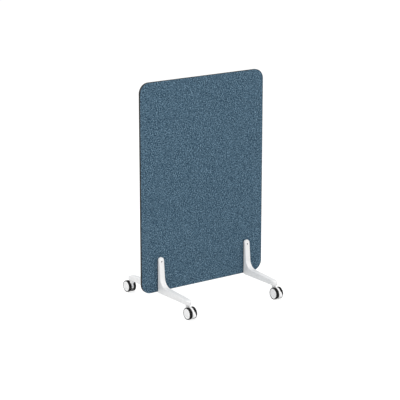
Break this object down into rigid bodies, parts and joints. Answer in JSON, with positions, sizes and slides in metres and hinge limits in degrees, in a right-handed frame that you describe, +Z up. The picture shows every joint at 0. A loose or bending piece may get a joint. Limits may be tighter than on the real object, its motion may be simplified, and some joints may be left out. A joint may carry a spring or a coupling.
{
  "type": "rolling partition",
  "caption": "Upright fabric-faced board with rounded corners, clamped between white cast legs on twin-wheel swivel casters.",
  "frame": {"origin": "on the floor, under the middle of the board's width and thickness", "axes": "+X along the board, +Y from the front face to the back face, +Z up"},
  "size_m": [0.914, 0.7572, 1.385],
  "materials": {
    "fabric": "matt woven grey-blue cloth with a fine heathered fleck",
    "core_board": "raw fibreboard, covered by the cloth",
    "edge_strip": "matt dark grey extruded strip",
    "leg_paint": "satin white powder coat on cast alloy",
    "caster_plastic": "semi-gloss white moulded nylon",
    "tyre": "matt black soft tread",
    "pad_rubber": "matt dark grey rubber",
    "steel": "bright zinc-plated steel",
    "dark_steel": "dark oiled steel"
  },
  "bodies": {
    "root": {"panel_core": "core_board", "front_fabric": "fabric", "back_fabric": "fabric", "edge_strip": "edge_strip", "leg_pads": "pad_rubber", "clamp_bolts": "steel", "sleeve_nuts": "steel", "tie_pins": "steel", "grub_screws": "dark_steel", "front_left_leg": "leg_paint", "front_right_leg": "leg_paint", "back_left_leg": "leg_paint", "back_right_leg": "leg_paint", "front_left_caster_stem": "steel", "front_left_grip_ring": "steel", "front_right_caster_stem": "steel", "front_right_grip_ring": "steel", "back_left_caster_stem": "steel", "back_left_grip_ring": "steel", "back_right_caster_stem": "steel", "back_right_grip_ring": "steel"},
    "front_left_caster": {"front_left_caster_body": "caster_plastic", "front_left_axle": "steel"},
    "front_left_brake": {"front_left_brake_lever": "caster_plastic"},
    "front_left_left_wheel": {"front_left_left_wheel": "caster_plastic", "front_left_left_tyre": "tyre", "front_left_left_wheel_cover": "caster_plastic"},
    "front_left_right_wheel": {"front_left_right_wheel": "caster_plastic", "front_left_right_tyre": "tyre", "front_left_right_wheel_cover": "caster_plastic"},
    "front_right_caster": {"front_right_caster_body": "caster_plastic", "front_right_axle": "steel"},
    "front_right_brake": {"front_right_brake_lever": "caster_plastic"},
    "front_right_left_wheel": {"front_right_left_wheel": "caster_plastic", "front_right_left_tyre": "tyre", "front_right_left_wheel_cover": "caster_plastic"},
    "front_right_right_wheel": {"front_right_right_wheel": "caster_plastic", "front_right_right_tyre": "tyre", "front_right_right_wheel_cover": "caster_plastic"},
    "back_left_caster": {"back_left_caster_body": "caster_plastic", "back_left_axle": "steel"},
    "back_left_brake": {"back_left_brake_lever": "caster_plastic"},
    "back_left_left_wheel": {"back_left_left_wheel": "caster_plastic", "back_left_left_tyre": "tyre", "back_left_left_wheel_cover": "caster_plastic"},
    "back_left_right_wheel": {"back_left_right_wheel": "caster_plastic", "back_left_right_tyre": "tyre", "back_left_right_wheel_cover": "caster_plastic"},
    "back_right_caster": {"back_right_caster_body": "caster_plastic", "back_right_axle": "steel"},
    "back_right_brake": {"back_right_brake_lever": "caster_plastic"},
    "back_right_left_wheel": {"back_right_left_wheel": "caster_plastic", "back_right_left_tyre": "tyre", "back_right_left_wheel_cover": "caster_plastic"},
    "back_right_right_wheel": {"back_right_right_wheel": "caster_plastic", "back_right_right_tyre": "tyre", "back_right_right_wheel_cover": "caster_plastic"}
  },
  "joints": [
    {"name": "front_left_swivel", "type": "hinge", "parent": "root", "child": "front_left_caster", "pos_m": [-0.327, -0.301, 0.06], "axis": [0, 0, 1], "continuous": true},
    {"name": "front_left_brake_press", "type": "hinge", "parent": "front_left_caster", "child": "front_left_brake", "pos_m": [-0.327, -0.328, 0.0365], "axis": [1, 0, 0], "range_deg": [0, 10]},
    {"name": "front_left_left_spin", "type": "hinge", "parent": "front_left_caster", "child": "front_left_left_wheel", "pos_m": [-0.327, -0.328, 0.0365], "axis": [1, 0, 0], "continuous": true},
    {"name": "front_left_right_spin", "type": "hinge", "parent": "front_left_caster", "child": "front_left_right_wheel", "pos_m": [-0.327, -0.328, 0.0365], "axis": [1, 0, 0], "continuous": true},
    {"name": "front_right_swivel", "type": "hinge", "parent": "root", "child": "front_right_caster", "pos_m": [0.327, -0.301, 0.06], "axis": [0, 0, 1], "continuous": true},
    {"name": "front_right_brake_press", "type": "hinge", "parent": "front_right_caster", "child": "front_right_brake", "pos_m": [0.327, -0.328, 0.0365], "axis": [1, 0, 0], "range_deg": [0, 10]},
    {"name": "front_right_left_spin", "type": "hinge", "parent": "front_right_caster", "child": "front_right_left_wheel", "pos_m": [0.327, -0.328, 0.0365], "axis": [1, 0, 0], "continuous": true},
    {"name": "front_right_right_spin", "type": "hinge", "parent": "front_right_caster", "child": "front_right_right_wheel", "pos_m": [0.327, -0.328, 0.0365], "axis": [1, 0, 0], "continuous": true},
    {"name": "back_left_swivel", "type": "hinge", "parent": "root", "child": "back_left_caster", "pos_m": [-0.327, 0.301, 0.06], "axis": [0, 0, 1], "continuous": true},
    {"name": "back_left_brake_press", "type": "hinge", "parent": "back_left_caster", "child": "back_left_brake", "pos_m": [-0.327, 0.328, 0.0365], "axis": [-1, 0, 0], "range_deg": [0, 10]},
    {"name": "back_left_left_spin", "type": "hinge", "parent": "back_left_caster", "child": "back_left_left_wheel", "pos_m": [-0.327, 0.328, 0.0365], "axis": [1, 0, 0], "continuous": true},
    {"name": "back_left_right_spin", "type": "hinge", "parent": "back_left_caster", "child": "back_left_right_wheel", "pos_m": [-0.327, 0.328, 0.0365], "axis": [1, 0, 0], "continuous": true},
    {"name": "back_right_swivel", "type": "hinge", "parent": "root", "child": "back_right_caster", "pos_m": [0.327, 0.301, 0.06], "axis": [0, 0, 1], "continuous": true},
    {"name": "back_right_brake_press", "type": "hinge", "parent": "back_right_caster", "child": "back_right_brake", "pos_m": [0.327, 0.328, 0.0365], "axis": [-1, 0, 0], "range_deg": [0, 10]},
    {"name": "back_right_left_spin", "type": "hinge", "parent": "back_right_caster", "child": "back_right_left_wheel", "pos_m": [0.327, 0.328, 0.0365], "axis": [1, 0, 0], "continuous": true},
    {"name": "back_right_right_spin", "type": "hinge", "parent": "back_right_caster", "child": "back_right_right_wheel", "pos_m": [0.327, 0.328, 0.0365], "axis": [1, 0, 0], "continuous": true}
  ]
}
